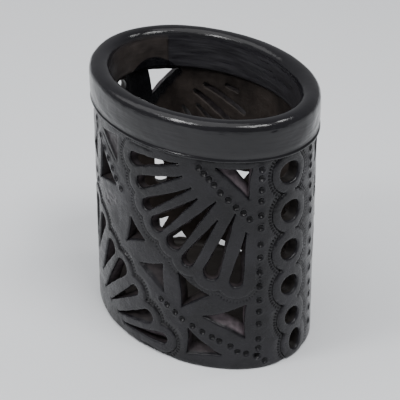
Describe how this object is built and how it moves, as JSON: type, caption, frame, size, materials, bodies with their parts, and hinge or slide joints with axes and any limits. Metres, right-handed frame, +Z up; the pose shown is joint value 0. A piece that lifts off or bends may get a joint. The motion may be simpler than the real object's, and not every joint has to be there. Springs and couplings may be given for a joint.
{
  "type": "openwork clay pot",
  "caption": "Oval slab-built pot of black clay, open at the top, with a wall pierced in fans of petals and triangles, ring-edged end columns and a thick burnished rim.",
  "frame": {"origin": "centre of the flat underside", "axes": "+Z up to the mouth, +X along the long axis of the oval, +Y across it"},
  "size_m": [0.1078, 0.08, 0.11],
  "materials": {
    "matt_clay": "smoke-fired black clay, smoothed, satin and matt, unglazed",
    "inner_clay": "rough, unburnished brown-black clay",
    "burnished_clay": "burnished with a stone to a soft gloss, unglazed"
  },
  "bodies": {
    "root": {"floor_slab": "inner_clay", "floor_seam_coil": "inner_clay", "front_wall": "matt_clay", "back_wall": "matt_clay", "right_ring_strip": "matt_clay", "left_ring_strip": "matt_clay", "rim_band": "burnished_clay"}
  },
  "joints": []
}
